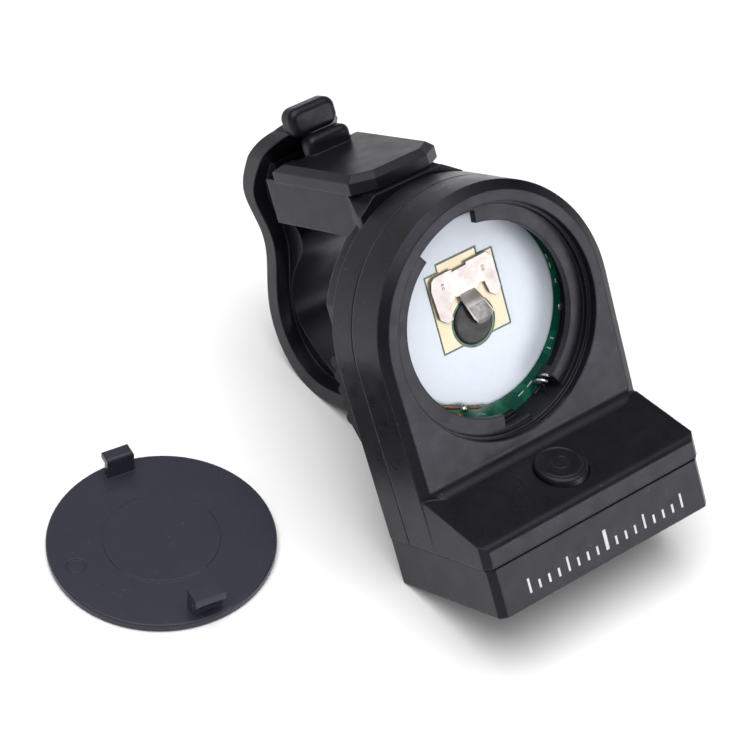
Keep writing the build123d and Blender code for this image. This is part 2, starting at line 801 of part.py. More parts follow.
with BuildPart() as moving_jaw:
    with BuildSketch(side(-jaw_half_width)):
        with BuildLine():
            outer = Spline(*jaw_outer)
            inner = Spline(*jaw_inner)
            Line(outer @ 0, inner @ 0)
            Line(outer @ 1, inner @ 1)
        make_face()
    extrude(amount=2 * jaw_half_width)
    # shoulders narrow towards the thumb tab
    with BuildSketch(face(45)):
        with BuildLine():
            Polyline((-jaw_half_width, -14), (-jaw_half_width, 16.8))
            ThreePointArc((-jaw_half_width, 16.8), (-4.2, 18.35), (-neck_half_width, 19.2))
            ThreePointArc((-neck_half_width, 19.2), (0, 20.6), (neck_half_width, 19.2))
            ThreePointArc((neck_half_width, 19.2), (4.2, 18.35), (jaw_half_width, 16.8))
            Polyline((jaw_half_width, 16.8), (jaw_half_width, -14), (-jaw_half_width, -14))
        make_face()
    extrude(amount=40, mode=Mode.INTERSECT)
    add(thumb_tab.part)
    # inner rib
    with BuildSketch(side(-3.2)):
        with BuildLine():
            rib_edge = Spline(*rib_inner)
            Polyline(rib_edge @ 1, *rib_back, (31.0, 15.6), rib_edge @ 0)
        make_face()
    extrude(amount=6.4)
    # two lugs on the hinge pin
    for lug_x in (-3.3, 2.2):
        with BuildSketch(side(lug_x)):
            with Locations((pin_depth, pin_y)):
                Circle(1.4)
            with Locations((pin_depth + lug_reach / 2, pin_y)):
                Rectangle(lug_reach, 1.6)
            with Locations((pin_depth, pin_y)):
                Circle(pin_radius + running_gap, mode=Mode.SUBTRACT)
        extrude(amount=1.1)
    # bar that joins the lugs
    with BuildSketch(side(-3.2)):
        with Locations((26.8, 13.0)):
            Rectangle(1.2, 1.5)
    extrude(amount=6.4)
finish(moving_jaw, "moving_jaw")

with BuildPart() as moving_jaw_pad:
    # soft grip on the tip of the bow
    with BuildSketch(side(-4.6)):
        with BuildLine():
            Polyline((16.4, -8.6), (15.5, -7.7), (15.3, -7.1), (15.7, -6.6), (16.3, -6.5), (17.4, -7.6), close=True)
        make_face()
    extrude(amount=9.2)
finish(moving_jaw_pad, "moving_jaw_pad")

with BuildPart() as hinge_pin:
    with BuildSketch(side(-arm_half_width + 0.45)):
        with Locations((pin_depth, pin_y)):
            Circle(pin_radius)
    extrude(amount=2 * (arm_half_width - 0.45))
finish(hinge_pin, "hinge_pin")

with BuildPart() as torsion_spring:
    with BuildSketch(side(-1.7)):
        with Locations((pin_depth, pin_y)):
            Circle(1.5)
            Circle(0.95, mode=Mode.SUBTRACT)
    extrude(amount=3.4)
    for leg_x, leg_end in ((-1.7, 17.5), (1.2, 20.0)):
        with BuildSketch(side(leg_x)):
            with Locations(((pin_depth + leg_end) / 2, pin_y - 1.25)):
                Rectangle(pin_depth - leg_end, 0.45)
        extrude(amount=0.5)
finish(torsion_spring, "torsion_spring")
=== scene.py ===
import json
import math
import random

import bmesh
import bpy
from mathutils import Matrix, Vector


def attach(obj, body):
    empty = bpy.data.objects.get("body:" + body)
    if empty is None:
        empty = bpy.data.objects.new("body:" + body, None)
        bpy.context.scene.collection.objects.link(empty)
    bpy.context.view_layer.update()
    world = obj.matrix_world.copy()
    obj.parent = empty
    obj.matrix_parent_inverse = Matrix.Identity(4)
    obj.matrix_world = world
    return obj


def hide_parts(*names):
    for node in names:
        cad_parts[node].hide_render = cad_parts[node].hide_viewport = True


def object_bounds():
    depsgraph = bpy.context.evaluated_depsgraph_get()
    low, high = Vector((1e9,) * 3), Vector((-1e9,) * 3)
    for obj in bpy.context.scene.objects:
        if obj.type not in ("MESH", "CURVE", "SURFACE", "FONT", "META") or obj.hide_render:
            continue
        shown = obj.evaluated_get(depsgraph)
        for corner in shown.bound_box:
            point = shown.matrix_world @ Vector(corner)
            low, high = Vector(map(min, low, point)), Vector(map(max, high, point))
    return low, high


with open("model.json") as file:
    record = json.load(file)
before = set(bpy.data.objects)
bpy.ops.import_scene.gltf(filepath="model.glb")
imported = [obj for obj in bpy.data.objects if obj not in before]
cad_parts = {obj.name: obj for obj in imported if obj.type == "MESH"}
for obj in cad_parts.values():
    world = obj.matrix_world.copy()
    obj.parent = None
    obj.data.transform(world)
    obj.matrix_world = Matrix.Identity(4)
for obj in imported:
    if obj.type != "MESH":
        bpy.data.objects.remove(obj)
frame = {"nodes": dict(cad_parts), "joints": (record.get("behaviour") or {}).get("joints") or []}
cad_low, cad_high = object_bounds()
MM = 0.001

# ------------------------------------------------------------------ directions
# The swivel joint gives the head's own directions: out of the rear face with the
# battery well, up the head and across it.  Depth is measured in from that face.
joints = {joint["name"]: joint for joint in frame["joints"]}
swivel = joints["clip_swivel"]
OUT = Vector(swivel["axis"]).normalized()
ACROSS = Vector((1, 0, 0))
UP = OUT.cross(ACROSS).normalized()
SWIVEL_DEPTH = 9.6
DRUM = Vector(swivel["pos_m"]) + OUT * SWIVEL_DEPTH * MM


def spot(x, y, depth):
    """Point across, up the head and into it, in millimetres."""
    return DRUM + (ACROSS * x + UP * y - OUT * depth) * MM


# ------------------------------------------------------------------ materials
def new_material(name):
    mat = bpy.data.materials.new(name)
    mat.use_nodes = True
    nodes = mat.node_tree.nodes
    nodes.clear()
    shader = nodes.new("ShaderNodeBsdfPrincipled")
    output = nodes.new("ShaderNodeOutputMaterial")
    mat.node_tree.links.new(shader.outputs["BSDF"], output.inputs["Surface"])
    return mat, nodes, mat.node_tree.links, shader


def noise(nodes, links, scale, detail=3.0, roughness=0.55):
    """Noise in object space; the scale is in features per millimetre."""
    coords = nodes.new("ShaderNodeTexCoord")
    texture = nodes.new("ShaderNodeTexNoise")
    texture.inputs["Scale"].default_value = scale / MM
    texture.inputs["Detail"].default_value = detail
    texture.inputs["Roughness"].default_value = roughness
    links.new(coords.outputs["Object"], texture.inputs["Vector"])
    return texture.outputs["Fac"]


def remap(nodes, links, value, low, high, new_low=0.0, new_high=1.0):
    """Value from one range fitted to another, and kept inside it."""
    node = nodes.new("ShaderNodeMapRange")
    node.inputs["From Min"].default_value = low
    node.inputs["From Max"].default_value = high
    node.inputs["To Min"].default_value = new_low
    node.inputs["To Max"].default_value = new_high
    links.new(value, node.inputs["Value"])
    return node.outputs["Result"]


def mix_colour(nodes, links, factor, first, second):
    """Mix of two colours, each a triple or a socket."""
    node = nodes.new("ShaderNodeMix")
    node.data_type = "RGBA"
    links.new(factor, node.inputs["Factor"])
    for socket, value in ((node.inputs[6], first), (node.inputs[7], second)):
        if isinstance(value, tuple):
            socket.default_value = (*value, 1)
        else:
            links.new(value, socket)
    return node.outputs[2]


# cosine between the rounded normal and the true one where an edge counts as sharp
SHARP_TURN = 0.72
# share of the lighter edge colour mixed in at sharp edges, convex and concave: part wear, part painted
# highlight
EDGE_WEAR_AND_HIGHLIGHT = 0.6
DUST_COLOUR = (0.20, 0.20, 0.21)
PLASTIC_TINT = (0.90, 0.87, 1.0, 1)
# noise stays mostly between these two values
NOISE_LOW, NOISE_HIGH = 0.3, 0.7


def edge_mask(nodes, links, radius):
    """1 at convex or concave edges, 0 on flat ground, and the rounded normal."""
    bevel = nodes.new("ShaderNodeBevel")
    bevel.samples = 6
    bevel.inputs["Radius"].default_value = radius * MM
    geometry = nodes.new("ShaderNodeNewGeometry")
    dot = nodes.new("ShaderNodeVectorMath")
    dot.operation = "DOT_PRODUCT"
    links.new(bevel.outputs["Normal"], dot.inputs[0])
    links.new(geometry.outputs["Normal"], dot.inputs[1])
    return remap(nodes, links, dot.outputs["Value"], 1.0, SHARP_TURN), bevel.outputs["Normal"]


def bump(nodes, links, height, distance, strength, normal=None):
    """Normal with a relief; the distance is in millimetres."""
    node = nodes.new("ShaderNodeBump")
    node.inputs["Distance"].default_value = distance * MM
    node.inputs["Strength"].default_value = strength
    links.new(height, node.inputs["Height"])
    if normal is not None:
        links.new(normal, node.inputs["Normal"])
    return node.outputs["Normal"]


def moulded(
    name, colour, edge_wear_and_highlight_colour, rough, soft_edge,
    grain=7.0, grain_depth=0.012, dust=0.35, shine=0.24, mottle=0.16,
):
    """Spark-textured moulded plastic: mottled tone, worn edges made lighter still by a painted highlight,
    fine grain and dust.
    """
    mat, nodes, links, shader = new_material(name)
    edges, rounded = edge_mask(nodes, links, soft_edge)
    cloud = noise(nodes, links, 0.22, 4.0)
    light = tuple(c * (1 + mottle) for c in colour)
    dark = tuple(c * (1 - mottle) for c in colour)
    tone = mix_colour(nodes, links, remap(nodes, links, cloud, NOISE_LOW, NOISE_HIGH), dark, light)
    # sharp edges take the lighter edge colour: some wear, plus a painted highlight where the edges would
    # catch the light
    worn_and_highlit = nodes.new("ShaderNodeMath")
    worn_and_highlit.operation = "MULTIPLY"
    worn_and_highlit.inputs[1].default_value = EDGE_WEAR_AND_HIGHLIGHT
    links.new(edges, worn_and_highlit.inputs[0])
    tone = mix_colour(nodes, links, worn_and_highlit.outputs[0], tone, edge_wear_and_highlight_colour)
    speck = remap(nodes, links, noise(nodes, links, 2.6, 1.0), 0.775, 0.81, 0.0, dust)
    tone = mix_colour(nodes, links, speck, tone, DUST_COLOUR)
    links.new(tone, shader.inputs["Base Color"])
    smear = noise(nodes, links, 0.5, 5.0)
    gloss = remap(nodes, links, smear, NOISE_LOW, NOISE_HIGH, rough - 0.05, rough + 0.06)
    links.new(gloss, shader.inputs["Roughness"])
    grain_height = noise(nodes, links, grain, 2.0, 0.6)
    links.new(bump(nodes, links, grain_height, grain_depth, 0.9, rounded), shader.inputs["Normal"])
    shader.inputs["Specular IOR Level"].default_value = shine
    shader.inputs["Specular Tint"].default_value = PLASTIC_TINT
    return mat


def metal(name, colour, rough, scratch_scale=8.0, tint=None, scratch=0.006):
    """Metal with fine scratches and stains of a second colour."""
    mat, nodes, links, shader = new_material(name)
    shader.inputs["Metallic"].default_value = 1.0
    streak = noise(nodes, links, scratch_scale, 4.0, 0.6)
    stain = noise(nodes, links, 0.45, 3.0)
    second = tint or tuple(c * 0.7 for c in colour)
    tone = mix_colour(nodes, links, remap(nodes, links, stain, 0.42, 0.72), colour, second)
    links.new(tone, shader.inputs["Base Color"])
    gloss = remap(nodes, links, streak, NOISE_LOW, NOISE_HIGH, rough - 0.07, rough + 0.12)
    links.new(gloss, shader.inputs["Roughness"])
    links.new(bump(nodes, links, streak, scratch, 0.6), shader.inputs["Normal"])
    return mat


def rubber(name, colour, rough, grain=5.0):
    """Dull rubber or foam with open pores."""
    mat, nodes, links, shader = new_material(name)
    patch = noise(nodes, links, 1.2, 4.0)
    dark = tuple(c * 0.7 for c in colour)
    links.new(mix_colour(nodes, links, patch, dark, colour), shader.inputs["Base Color"])
    gloss = remap(nodes, links, patch, NOISE_LOW, NOISE_HIGH, rough - 0.08, rough + 0.08)
    links.new(gloss, shader.inputs["Roughness"])
    pores = noise(nodes, links, grain, 3.0)
    links.new(bump(nodes, links, pores, 0.03, 0.8), shader.inputs["Normal"])
    return mat


def coated(name, colour, rough, spread=0.12, grain=3.0, grain_depth=0.01, metallic=0.0):
    """Plain surface with an uneven tone, uneven gloss and a fine relief."""
    mat, nodes, links, shader = new_material(name)
    patch = noise(nodes, links, 0.6, 4.0)
    dark = tuple(c * (1 - spread) for c in colour)
    light = tuple(min(1.0, c * (1 + spread)) for c in colour)
    tone = mix_colour(nodes, links, remap(nodes, links, patch, NOISE_LOW, NOISE_HIGH), dark, light)
    links.new(tone, shader.inputs["Base Color"])
    gloss = remap(nodes, links, patch, NOISE_LOW, NOISE_HIGH, rough - 0.05, rough + 0.07)
    links.new(gloss, shader.inputs["Roughness"])
    relief = noise(nodes, links, grain, 3.0)
    links.new(bump(nodes, links, relief, grain_depth, 0.8), shader.inputs["Normal"])
    shader.inputs["Metallic"].default_value = metallic
    return mat


def lacquered_board(name):
    """Green lacquer over copper tracks that show as lighter, slightly raised bands."""
    mat, nodes, links, shader = new_material(name)
    tracks = noise(nodes, links, 0.42, 1.0, 0.4)
    band = remap(nodes, links, tracks, 0.52, 0.56)
    green = mix_colour(nodes, links, band, (0.004, 0.075, 0.045), (0.010, 0.125, 0.070))
    links.new(green, shader.inputs["Base Color"])
    cloud = noise(nodes, links, 0.8, 3.0)
    links.new(remap(nodes, links, cloud, NOISE_LOW, NOISE_HIGH, 0.22, 0.36), shader.inputs["Roughness"])
    links.new(bump(nodes, links, band, 0.03, 0.7), shader.inputs["Normal"])
    return mat


shell_mat = moulded("shell_plastic", (0.0065, 0.0062, 0.0082), (0.040, 0.039, 0.046), 0.30, 0.25)
cap_mat = moulded("cap_plastic", (0.0062, 0.0060, 0.0078), (0.036, 0.035, 0.042), 0.30, 0.2)
clip_mat = moulded("clip_plastic", (0.0065, 0.0062, 0.0084), (0.044, 0.043, 0.052), 0.33, 0.25)
door_mat = moulded(
    "door_plastic", (0.0290, 0.0290, 0.0420), (0.055, 0.055, 0.068), 0.25, 0.2,
    grain=3.0, grain_depth=0.005, dust=0.3, mottle=0.05,
)
button_mat = moulded(
    "button_rubber", (0.0060, 0.0059, 0.0076), (0.026, 0.026, 0.030), 0.36, 0.3,
    grain=5.0, dust=0.1, shine=0.26,
)
pad_mat = rubber("pad_rubber", (0.010, 0.010, 0.011), 0.75)
foam_mat = rubber("dark_rubber", (0.030, 0.030, 0.033), 0.5, 1.1)
contact_mat = metal("contact_metal", (0.38, 0.350, 0.342), 0.36, tint=(0.27, 0.238, 0.232), scratch=0.012)
knurled_mat = metal(
    "knurled_metal", (0.23, 0.225, 0.22), 0.38,
    scratch_scale=3.0, tint=(0.07, 0.07, 0.07), scratch=0.10,
)
pin_mat = metal("pin_steel", (0.62, 0.62, 0.62), 0.25)
screw_mat = metal("screw_steel", (0.42, 0.42, 0.44), 0.35)
brass_mat = metal("sensor_brass", (0.78, 0.62, 0.32), 0.30)
gold_mat = coated("plated_gold", (0.60, 0.515, 0.365), 0.36, spread=0.08, metallic=0.3)
film_mat = coated("film_white", (0.73, 0.78, 0.87), 0.38, spread=0.03, grain=0.8, grain_depth=0.03)
board_mat = lacquered_board("board_green")
print_mat = coated("white_print", (0.60, 0.60, 0.61), 0.5, spread=0.15, grain=8.0)
scorched_mat = coated("scorched_lacquer", (0.10, 0.045, 0.020), 0.3, spread=0.35, grain=2.0, grain_depth=0.04)
red_mat = coated("red_wire", (0.45, 0.03, 0.02), 0.35)
black_mat = coated("component_black", (0.012, 0.012, 0.013), 0.35, spread=0.3)
solder_mat = metal("solder", (0.72, 0.72, 0.72), 0.28, tint=(0.42, 0.40, 0.36), scratch=0.02)
window_mat = coated(
    "window_plastic", (0.010, 0.010, 0.013), 0.08, spread=0.1, grain=0.5, grain_depth=0.004,
)
glass_mat = coated("display_glass", (0.09, 0.11, 0.09), 0.12, spread=0.1, grain=0.6, grain_depth=0.004)
light_guide_mat = coated("light_guide_plastic", (0.80, 0.80, 0.80), 0.35, spread=0.04)
flex_mat = coated("flex_film", (0.55, 0.30, 0.06), 0.3, spread=0.2)
nylon_mat = coated("washer_nylon", (0.72, 0.70, 0.64), 0.5, spread=0.06)

finishes = {
    shell_mat: ("rear_shell", "front_shell"),
    cap_mat: ("display_cap",),
    clip_mat: ("fixed_jaw", "moving_jaw", "arm_cover", "swivel_hub"),
    door_mat: ("battery_door",),
    button_mat: ("power_button",),
    pad_mat: ("fixed_jaw_pad", "moving_jaw_pad"),
    foam_mat: ("sensor_grommet",),
    contact_mat: ("negative_contact", "positive_contact"),
    pin_mat: ("hinge_pin", "torsion_spring", "retaining_washer"),
    screw_mat: ("housing_screws", "pivot_screw"),
    gold_mat: ("contact_pad",),
    brass_mat: ("vibration_sensor",),
    film_mat: ("insulating_film",),
    board_mat: ("circuit_board", "display_board"),
    black_mat: ("circuit_components", "tact_switch", "switch_plunger"),
    window_mat: ("display_window",),
    glass_mat: ("display_panel",),
    light_guide_mat: ("light_guide",),
    flex_mat: ("flex_cable",),
    nylon_mat: ("friction_washer",),
}
for finish, node_names in finishes.items():
    for node_name in node_names:
        node_mesh = frame["nodes"][node_name].data
        node_mesh.materials.clear()
        node_mesh.materials.append(finish)

# ------------------------------------------------------------------ mesh helpers
rng = random.Random(7)


def mesh_piece(name, points, faces, mat, body, slot, sharp_angle=35.0, bevel=0.0):
    """New piece from points given across, up and into the head, in millimetres."""
    mesh = bpy.data.meshes.new(name)
    mesh.from_pydata([spot(*point) for point in points], [], faces)
    work = bmesh.new()
    work.from_mesh(mesh)
    bmesh.ops.remove_doubles(work, verts=work.verts, dist=1e-7)
    bmesh.ops.recalc_face_normals(work, faces=work.faces)
    work.to_mesh(mesh)
    work.free()
    for polygon in mesh.polygons:
        polygon.use_smooth = True
    mesh.set_sharp_from_angle(angle=math.radians(sharp_angle))
    mesh.materials.append(mat)
    obj = bpy.data.objects.new(name, mesh)
    bpy.context.scene.collection.objects.link(obj)
    if bevel:
        rounding = obj.modifiers.new("rounding", "BEVEL")
        rounding.width = bevel * MM
        rounding.segments = 3
        rounding.limit_method = "ANGLE"
    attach(obj, body)
    return obj


def prism(outline, top, bottom):
    """Points and faces of a flat outline between two depths."""
    count = len(outline)
    points = [(x, y, top) for x, y in outline] + [(x, y, bottom) for x, y in outline]
    faces = [tuple(range(count)), tuple(reversed(range(count, 2 * count)))]
    faces += [(i, (i + 1) % count, count + (i + 1) % count, count + i) for i in range(count)]
    return points, faces


def joined(parts):
    """Several sets of points and faces as one."""
    points, faces = [], []
    for more_points, more_faces in parts:
        start = len(points)
        points += more_points
        faces += [tuple(index + start for index in face) for face in more_faces]
    return points, faces


def rectangle(x, y, width, height, turn=0.0):
    """Corners of a rectangle about its centre, turned by degrees."""
    c, s = math.cos(math.radians(turn)), math.sin(math.radians(turn))
    corners = ((-1, -1), (1, -1), (1, 1), (-1, 1))
    return [
        (x + c * u * width / 2 - s * v * height / 2, y + s * u * width / 2 + c * v * height / 2)
        for u, v in corners
    ]


def grid_faces(rows, columns, wrap):
    """Quads between rows of points; wrap joins the last column to the first."""
    faces = []
    for row in range(rows - 1):
        for column in range(columns if wrap else columns - 1):
            after = (column + 1) % columns
            faces.append((
                row * columns + column,
                row * columns + after,
                (row + 1) * columns + after,
                (row + 1) * columns + column,
            ))
    return faces


MOUND_RINGS, MOUND_STEPS = 7, 20


def mound(x, y, depth, width, height, rise, turn=0.0, rough=0.0):
    """Low rounded blob that rises from a depth, turned by degrees."""
    c, s = math.cos(math.radians(turn)), math.sin(math.radians(turn))
    points = []
    for ring in range(MOUND_RINGS):
        level = ring / (MOUND_RINGS - 1) * math.pi / 2
        for step in range(MOUND_STEPS):
            around = step / MOUND_STEPS * 2 * math.pi
            uneven = 1 + rng.uniform(-rough, rough)
            u = math.cos(around) * math.cos(level) * width / 2 * uneven
            v = math.sin(around) * math.cos(level) * height / 2 * uneven
            points.append((x + c * u - s * v, y + s * u + c * v, depth - math.sin(level) * rise))
    return points, grid_faces(MOUND_RINGS, MOUND_STEPS, True)


def round_wire(name, radius, mat):
    """Curve of round section, without any line in it yet."""
    wire = bpy.data.curves.new(name, "CURVE")
    wire.dimensions = "3D"
    wire.bevel_depth = radius * MM
    wire.bevel_resolution = 4
    wire.use_fill_caps = True
    wire.materials.append(mat)
    return wire


def wire_line(wire, kind, places):
    """New line of a wire through places given across, up and into the head."""
    line = wire.splines.new(kind)
    line.points.add(len(places) - 1)
    for point, place in zip(line.points, places):
        point.co = (*spot(*place), 1)
    return line


# ------------------------------------------------------------------ white film
# depths of the board's and the film's upper faces
BOARD_TOP = 5.15
FILM_TOP = 5.03
FILM_CENTRE = (0.5, 0.4)
FILM_RADIUS = 10.25
# the cut-out is a box and a tab round the gold pad, and a circle round the hole
CUT_CENTRE = (0.08, 1.6)
CUT_BOX = (-4.37, 4.53, -2.75, 5.95)
CUT_TAB = (-2.7, 2.6, -2.75, 6.8)
HOLE_CENTRE = (0.1, -0.7)
HOLE_RADIUS = 2.75
# the film ends at a ragged line near its lower left edge
TEAR_START = (-6.7, -7.1)
TEAR_END = (-1.6, -9.5)
TEAR_WAVE, TEAR_WAVES = 0.10, 23
TEAR_ROUGHNESS = 0.05
FILM_STEPS = 360
FILM_WAVE = 0.012
# share of the way from the cut-out to the rim, drop below the film's face, and step
# towards the rim; from the cut-out's lower edge over the face to the rim's lower edge
FILM_RINGS = (
    (0.0, 0.12, 0.0), (0.0, 0.02, 0.0), (0.0, 0.0, 0.06), (0.25, 0.0, 0.0), (0.5, -0.02, 0.0),
    (0.75, -0.02, 0.0), (1.0, 0.0, -0.45), (1.0, 0.02, -0.2), (1.0, 0.05, -0.07), (1.0, 0.12, 0.0),
)
NEARLY_ZERO = 1e-6
FAR_AWAY = 1e6


def to_circle(angle, centre, radius):
    """Distance from the middle of the cut-out to a circle round it."""
    x, y = CUT_CENTRE[0] - centre[0], CUT_CENTRE[1] - centre[1]
    along = x * math.cos(angle) + y * math.sin(angle)
    return -along + math.sqrt(along * along - x * x - y * y + radius * radius)


def to_box(angle, limits):
    """Distance from the middle of the cut-out to the sides of a box round it."""
    x_low, x_high, y_low, y_high = limits
    c, s = math.cos(angle), math.sin(angle)
    reach_x = ((x_high if c > 0 else x_low) - CUT_CENTRE[0]) / c if abs(c) > NEARLY_ZERO else FAR_AWAY
    reach_y = ((y_high if s > 0 else y_low) - CUT_CENTRE[1]) / s if abs(s) > NEARLY_ZERO else FAR_AWAY
    return min(reach_x, reach_y)


def to_tear(angle):
    """Distance from the middle of the cut-out to the torn line, if it lies that way."""
    normal = (TEAR_END[1] - TEAR_START[1], TEAR_START[0] - TEAR_END[0])
    towards = math.cos(angle) * normal[0] + math.sin(angle) * normal[1]
    offset = (TEAR_START[0] - CUT_CENTRE[0]) * normal[0] + (TEAR_START[1] - CUT_CENTRE[1]) * normal[1]
    reach = offset / towards if abs(towards) > NEARLY_ZERO else -1
    return reach if reach > 0 else FAR_AWAY


film_edges = []
for step in range(FILM_STEPS):
    angle = 2 * math.pi * step / FILM_STEPS
    inner = max(to_box(angle, CUT_BOX), to_box(angle, CUT_TAB), to_circle(angle, HOLE_CENTRE, HOLE_RADIUS))
    ragged = TEAR_WAVE * math.sin(TEAR_WAVES * angle) + rng.uniform(-TEAR_ROUGHNESS, TEAR_ROUGHNESS)
    torn = to_tear(angle) + ragged
    outer = min(to_circle(angle, FILM_CENTRE, FILM_RADIUS), torn)
    film_edges.append((angle, inner, outer))
film_points = []
for share, drop, step_out in FILM_RINGS:
    for angle, inner, outer in film_edges:
        reach = inner + (outer - inner) * share + step_out
        wave = FILM_WAVE * math.sin(2 * angle + 0.6) * math.sin(math.pi * share)
        film_points.append((
            CUT_CENTRE[0] + reach * math.cos(angle),
            CUT_CENTRE[1] + reach * math.sin(angle),
            FILM_TOP + drop + wave,
        ))
film = mesh_piece(
    "film_sheet", film_points, grid_faces(len(FILM_RINGS), FILM_STEPS, True),
    film_mat, "head", "film_white", sharp_angle=60,
)
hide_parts("insulating_film")

# ------------------------------------------------------------------ sheet metal contact
PLATE_TOP, PLATE_BACK = 4.70, 4.85
PLATE_OUTLINE = [
    (-3.8, 5.3), (-3.3, 5.6), (-1.1, 5.68), (-1.05, 5.4), (0.7, 5.45), (0.75, 5.72), (3.5, 5.8),
    (4.1, 5.0), (4.2, 1.6), (3.9, 1.05), (3.3, 0.95), (2.7, 1.5), (2.4, 2.9), (1.8, 2.95),
    (1.3, 2.5), (-0.8, 2.5), (-1.4, 2.7), (-2.4, 1.7), (-2.3, 0.6), (-3.1, 0.4), (-3.9, 1.1), (-4.1, 4.3),
]
TONGUE = [
    # up the head, left side, right side, depth of the upper face
    (2.75, -0.95, 1.05, 4.70), (2.35, -0.95, 1.25, 4.62), (1.9, -0.9, 1.45, 4.45),
    (1.2, -0.7, 1.75, 4.32), (0.4, -0.45, 2.1, 4.26), (-0.2, -0.25, 2.4, 4.25),
    (-0.55, 0.0, 2.05, 4.27), (-0.85, 0.15, 1.75, 4.33), (-1.1, 0.45, 1.45, 4.42),
]
TONGUE_COLUMNS = 5
TONGUE_CROWN = 0.05
SHEET = PLATE_BACK - PLATE_TOP
FOOT_X, FOOT_Y = 2.6, 4.3
FOOT_WIDTH, FOOT_HEIGHT = 1.0, 0.8
WELD_OFFSET = 0.2


def on_tongue(row, share):
    """Place on the crowned upper face of the tongue, across a row of TONGUE."""
    y, left, right, depth = row
    return left + (right - left) * share, y, depth - TONGUE_CROWN * math.sin(math.pi * share)


tongue_points = [
    on_tongue(row, column / (TONGUE_COLUMNS - 1)) for row in TONGUE for column in range(TONGUE_COLUMNS)
]
top_count = len(tongue_points)
tongue_points += [(x, y, depth + SHEET) for x, y, depth in tongue_points]
tongue_faces = grid_faces(len(TONGUE), TONGUE_COLUMNS, False)
tongue_faces += [tuple(top_count + i for i in reversed(face)) for face in tongue_faces]
# walls along the tongue's edge: first row, right side, last row, left side
right_column = TONGUE_COLUMNS - 1
row_starts = [TONGUE_COLUMNS * row for row in range(len(TONGUE))]
border = [*range(TONGUE_COLUMNS), *(start + right_column for start in row_starts[1:])]
border += [row_starts[-1] + column for column in reversed(range(right_column))]
border += reversed(row_starts[1:-1])
for here, after in zip(border, border[1:] + border[:1]):
    tongue_faces.append((here, after, top_count + after, top_count + here))
plate_parts = [prism(PLATE_OUTLINE, PLATE_TOP, PLATE_BACK), (tongue_points, tongue_faces)]
plate_parts += [
    prism(rectangle(x, FOOT_Y, FOOT_WIDTH, FOOT_HEIGHT), PLATE_BACK - 0.05, BOARD_TOP - 0.08)
    for x in (-FOOT_X, FOOT_X)
]
contact = mesh_piece(
    "contact_spring", *joined(plate_parts), contact_mat, "head", "contact_metal", bevel=0.04,
)
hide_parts("negative_contact")

# knurled patch on the tongue, between its bend and its tip
KNURL_ROWS = TONGUE[3:8]
KNURL_COLUMNS = 9
KNURL_MARGIN = 0.08
KNURL_STEP = 0.012
patch_points = []
for number, row in enumerate(KNURL_ROWS):
    for column in range(KNURL_COLUMNS):
        x, y, depth = on_tongue(row, KNURL_MARGIN + (1 - 2 * KNURL_MARGIN) * column / (KNURL_COLUMNS - 1))
        patch_points.append((x, y, depth - KNURL_STEP * (1 + (column + number) % 2)))
mesh_piece(
    "contact_knurl", patch_points, grid_faces(len(KNURL_ROWS), KNURL_COLUMNS, False),
    knurled_mat, "head", "contact_metal", sharp_angle=5,
)

# weld spots over the plate's feet
marks = [
    mound(x, y, PLATE_TOP, 0.36, 0.30, 0.04)
    for x in (-FOOT_X, FOOT_X) for y in (FOOT_Y - WELD_OFFSET, FOOT_Y + WELD_OFFSET)
]
mesh_piece("contact_welds", *joined(marks), contact_mat, "head", "contact_metal")

# ------------------------------------------------------------------ side contact: two bent wires
SIDE_WIRE_RADIUS = 0.17
SIDE_WIRE_PITCH = 0.75
SIDE_WIRE_BENDS = [
    (5.35, -9.95, 5.05), (5.15, -9.55, 4.5), (5.05, -9.30, 3.7), (5.25, -9.35, 3.1), (5.60, -9.60, 2.95),
]
side_spring = round_wire("side_spring", SIDE_WIRE_RADIUS, solder_mat)
for offset in (0.0, SIDE_WIRE_PITCH):
    # the second wire follows the round wall of the well
    bends = [(x + offset, y + 0.35 * offset, depth) for x, y, depth in SIDE_WIRE_BENDS]
    line = wire_line(side_spring, "NURBS", bends)
    line.order_u = 3
    line.use_endpoint_u = True
side_wire = bpy.data.objects.new("side_spring", side_spring)
bpy.context.scene.collection.objects.link(side_wire)
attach(side_wire, "head")
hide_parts("positive_contact")

# ------------------------------------------------------------------ details on the board
solder = [
    mound(6.45, -10.05, BOARD_TOP, 1.5, 1.1, 0.55, 20, 0.05),
    mound(7.35, -10.3, BOARD_TOP, 0.9, 0.7, 0.35, -10, 0.06),
    mound(-3.7, -9.0, BOARD_TOP, 0.9, 0.7, 0.40, 0, 0.06),
    mound(10.95, -3.7, BOARD_TOP, 0.55, 0.75, 0.10),
    mound(11.25, -0.8, BOARD_TOP, 0.35, 0.6, 0.08),
]
mesh_piece("solder_joints", *joined(solder), solder_mat, "head", "contact_metal")
side_chip = joined([
    prism(rectangle(5.7, -11.0, 1.5, 0.75, 24), BOARD_TOP - 0.45, BOARD_TOP),
    prism(rectangle(6.6, -9.35, 1.7, 0.8, 30), BOARD_TOP - 1.5, BOARD_TOP),
])
mesh_piece("side_component", *side_chip, black_mat, "head", "component_black", bevel=0.08)
scorch = joined([
    mound(-5.2, -8.15, BOARD_TOP + 0.02, 3.2, 0.55, 0.10, -26, 0.10),
    mound(-2.5, -9.35, BOARD_TOP + 0.02, 2.0, 0.45, 0.09, -24, 0.10),
])
mesh_piece("flux_residue", *scorch, scorched_mat, "head", "component_black")
stub = mound(-4.5, -9.45, BOARD_TOP, 0.5, 0.5, 0.35, 0, 0.03)
mesh_piece("wire_end", *stub, red_mat, "head", "component_black")

